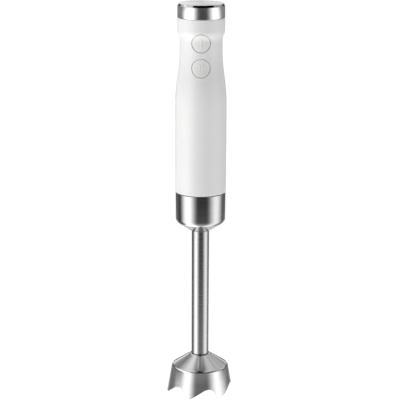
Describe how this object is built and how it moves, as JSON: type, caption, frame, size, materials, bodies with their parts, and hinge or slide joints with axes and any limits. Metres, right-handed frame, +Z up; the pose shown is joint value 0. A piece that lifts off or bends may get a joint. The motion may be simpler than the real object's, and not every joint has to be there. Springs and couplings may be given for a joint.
{
  "type": "immersion blender",
  "caption": "Upright hand blender: round white handle with a speed dial and push buttons, steel leg with a toothed blade guard and a spinning blade.",
  "frame": {"origin": "centre of the plane of the guard's tooth tips, which the blender stands on", "axes": "+Z up along the motor and leg axis, -Y towards the front with the push buttons"},
  "size_m": [0.066, 0.0642, 0.3925],
  "materials": {
    "white_shell": "satin moulded white plastic",
    "button_white": "satin moulded white plastic",
    "dial_metal": "satin turned metal with a polished bevel",
    "dial_face": "finely brushed disc",
    "collar_steel": "steel brushed around the axis",
    "tube_steel": "polished drawn steel tube",
    "guard_steel": "pressed steel, brushed around the axis",
    "blade_steel": "ground hardened steel",
    "shaft_steel": "ground steel bar",
    "dark_plastic": "black moulded plastic",
    "grey_plastic": "grey moulded plastic",
    "rubber_black": "soft black rubber",
    "bronze": "sintered bronze",
    "copper": "enamelled copper",
    "brass": "stamped brass",
    "can_steel": "zinc plated deep drawn steel",
    "core_steel": "stacked electrical steel sheets",
    "magnet": "sintered ferrite",
    "carbon": "pressed carbon",
    "screw_steel": "zinc plated screws",
    "spring_steel": "spring wire",
    "board_green": "circuit board",
    "component_yellow": "moulded component case",
    "component_black": "moulded component case",
    "sink_aluminium": "extruded heat sink"
  },
  "bodies": {
    "handle": {"handle_shell": "white_shell", "motor_bracket": "dark_plastic", "neck_seal": "rubber_black", "motor_mount_screws": "screw_steel", "chassis_right": "grey_plastic", "chassis_left": "grey_plastic", "case_screws": "screw_steel", "motor_can": "can_steel", "lower_damper": "rubber_black", "upper_damper": "rubber_black", "field_magnets": "magnet", "motor_end_cap": "dark_plastic", "lower_motor_bearing": "bronze", "upper_motor_bearing": "bronze", "brush_holders": "brass", "carbon_brushes": "carbon", "brush_springs": "spring_steel", "control_board": "board_green", "switch_1_body": "component_black", "switch_2_body": "component_black", "filter_capacitor": "component_yellow", "power_transistor": "component_black", "heat_sink": "sink_aluminium", "terminal_block": "grey_plastic", "speed_control_body": "component_black", "top_plate": "grey_plastic", "top_plate_screws": "screw_steel", "detent_ball": "shaft_steel", "detent_spring": "spring_steel", "cable_gland": "rubber_black", "cord_clamp": "grey_plastic"},
    "dial": {"dial_ring": "dial_metal", "dial_top_disc": "dial_face", "dial_hub": "grey_plastic", "dial_screw": "screw_steel", "control_spindle": "grey_plastic"},
    "button_1": {"button_1_cap": "button_white", "switch_1_plunger": "dark_plastic"},
    "button_2": {"button_2_cap": "button_white", "switch_2_plunger": "dark_plastic"},
    "rotor": {"motor_shaft": "shaft_steel", "armature_core": "core_steel", "armature_windings": "copper", "commutator": "copper", "cooling_fan": "grey_plastic", "drive_dog": "dark_plastic"},
    "lock": {"lock_ring": "dark_plastic"},
    "leg": {"leg_collar": "collar_steel", "coupling_housing": "dark_plastic", "leg_tube": "tube_steel", "upper_bush": "bronze", "bearing_housing": "dark_plastic", "lower_bush": "bronze", "shaft_seal": "rubber_black", "blade_guard": "guard_steel"},
    "blade_set": {"blade_shaft": "shaft_steel", "driven_coupler": "dark_plastic", "blade_spacer": "dark_plastic", "blade": "blade_steel", "blade_nut": "blade_steel"}
  },
  "joints": [
    {"name": "dial_turn", "type": "hinge", "parent": "handle", "child": "dial", "pos_m": [0, 0, 0.3857], "axis": [0, 0, 1], "range_deg": [-125, 125]},
    {"name": "button_1_press", "type": "slide", "parent": "handle", "child": "button_1", "axis": [0, 1, 0], "range_m": [0, 0.0012], "stiffness_N_per_m": 1500, "springref_m": -0.0008},
    {"name": "button_2_press", "type": "slide", "parent": "handle", "child": "button_2", "axis": [0, 1, 0], "range_m": [0, 0.0012], "stiffness_N_per_m": 1500, "springref_m": -0.0008},
    {"name": "motor_spin", "type": "hinge", "parent": "handle", "child": "rotor", "pos_m": [0, 0, 0.241], "axis": [0, 0, 1], "continuous": true},
    {"name": "leg_twist", "type": "hinge", "parent": "handle", "child": "lock", "pos_m": [0, 0, 0.2045], "axis": [0, 0, 1], "range_deg": [0, 20]},
    {"name": "leg_pull", "type": "slide", "parent": "lock", "child": "leg", "axis": [0, 0, -1], "range_m": [0, 0.045]},
    {"name": "blade_spin", "type": "hinge", "parent": "leg", "child": "blade_set", "pos_m": [0, 0, 0.01], "axis": [0, 0, 1], "continuous": true}
  ],
  "couplings": [
    {"joint": "blade_spin", "follows": "motor_spin", "ratio": 1}
  ]
}
